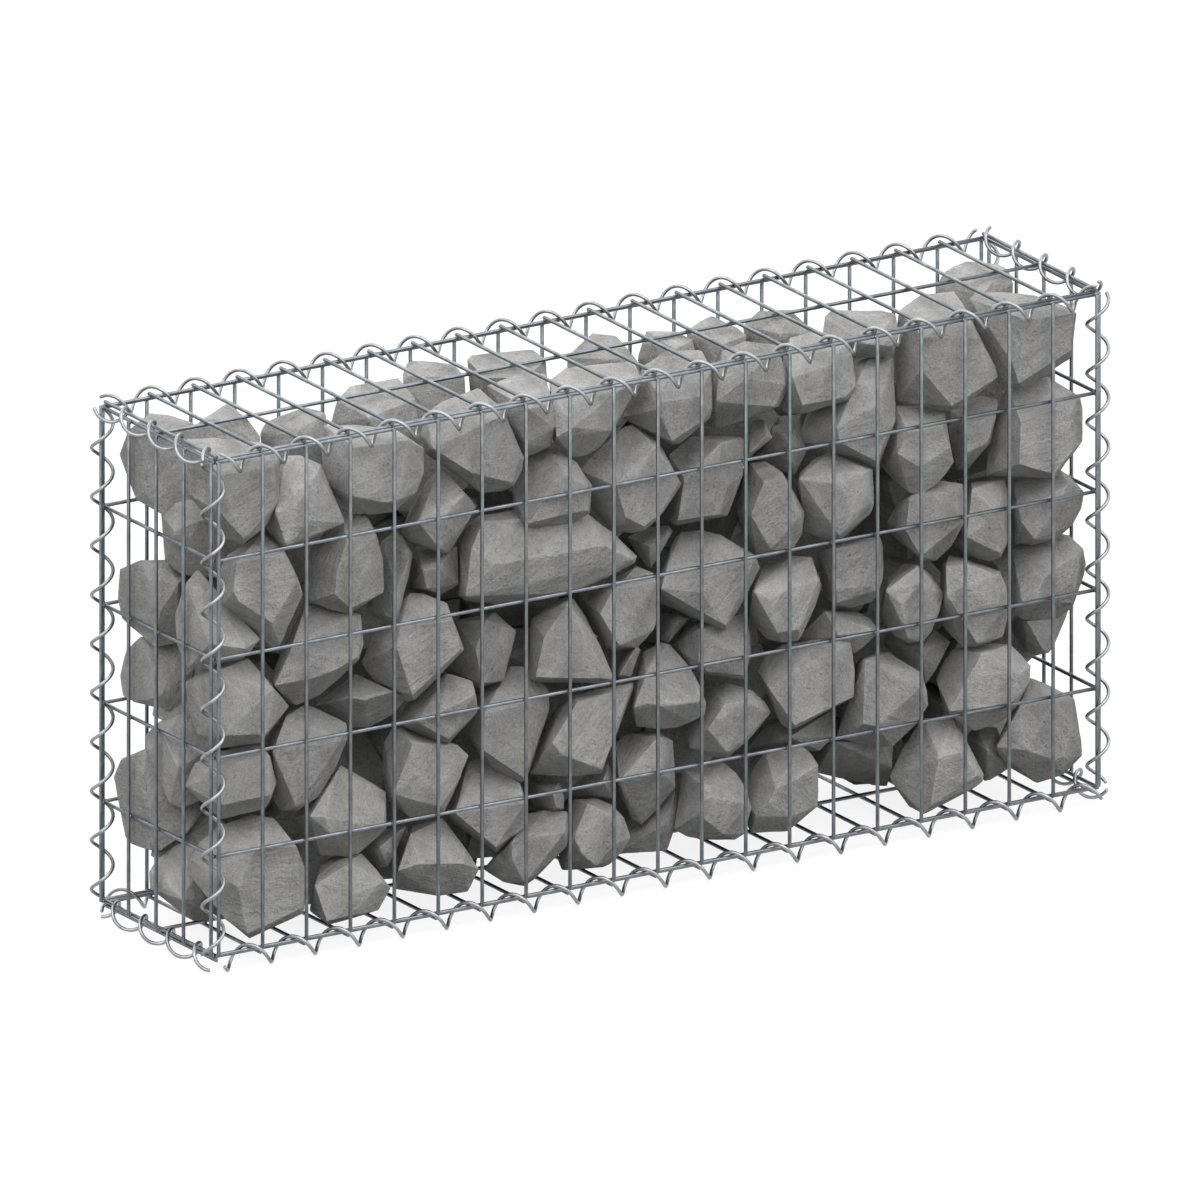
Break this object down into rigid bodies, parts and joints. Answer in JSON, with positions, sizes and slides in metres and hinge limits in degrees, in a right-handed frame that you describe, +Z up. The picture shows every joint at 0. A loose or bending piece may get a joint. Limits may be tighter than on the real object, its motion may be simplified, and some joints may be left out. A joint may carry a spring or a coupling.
{
  "type": "gabion wall",
  "caption": "Free-standing gabion wall unit: a welded wire mesh basket laced along its edges with steel spirals and filled with angular broken stone.",
  "frame": {"origin": "middle of the wall's footprint, at the level that its lowest spirals stand on", "axes": "+X along the wall to the right as seen from the front, +Y to the back, so the front faces -Y, +Z up"},
  "size_m": [1.0362, 0.2364, 0.5318],
  "materials": {
    "mesh_wire": "galvanised steel wire, dull blue-grey zinc",
    "spiral_wire": "galvanised spring wire, brighter than the mesh",
    "stone": "broken grey rock, fine sandy grain, matt"
  },
  "bodies": {
    "root": {"front_mesh": "mesh_wire", "back_mesh": "mesh_wire", "left_end_mesh": "mesh_wire", "right_end_mesh": "mesh_wire", "base_mesh": "mesh_wire", "lid_mesh": "mesh_wire", "spiral_front_bottom": "spiral_wire", "spiral_front_top": "spiral_wire", "spiral_back_bottom": "spiral_wire", "spiral_back_top": "spiral_wire", "spiral_left_bottom": "spiral_wire", "spiral_left_top": "spiral_wire", "spiral_right_bottom": "spiral_wire", "spiral_right_top": "spiral_wire", "spiral_front_left": "spiral_wire", "spiral_front_right": "spiral_wire", "spiral_back_left": "spiral_wire", "spiral_back_right": "spiral_wire", "front_stones_course_1": "stone", "front_stones_course_2": "stone", "front_stones_course_3": "stone", "front_stones_course_4": "stone", "front_stones_course_5": "stone", "front_stones_course_6": "stone", "back_stones_course_1": "stone", "back_stones_course_2": "stone", "back_stones_course_3": "stone", "back_stones_course_4": "stone", "back_stones_course_5": "stone", "back_stones_course_6": "stone"}
  },
  "joints": []
}
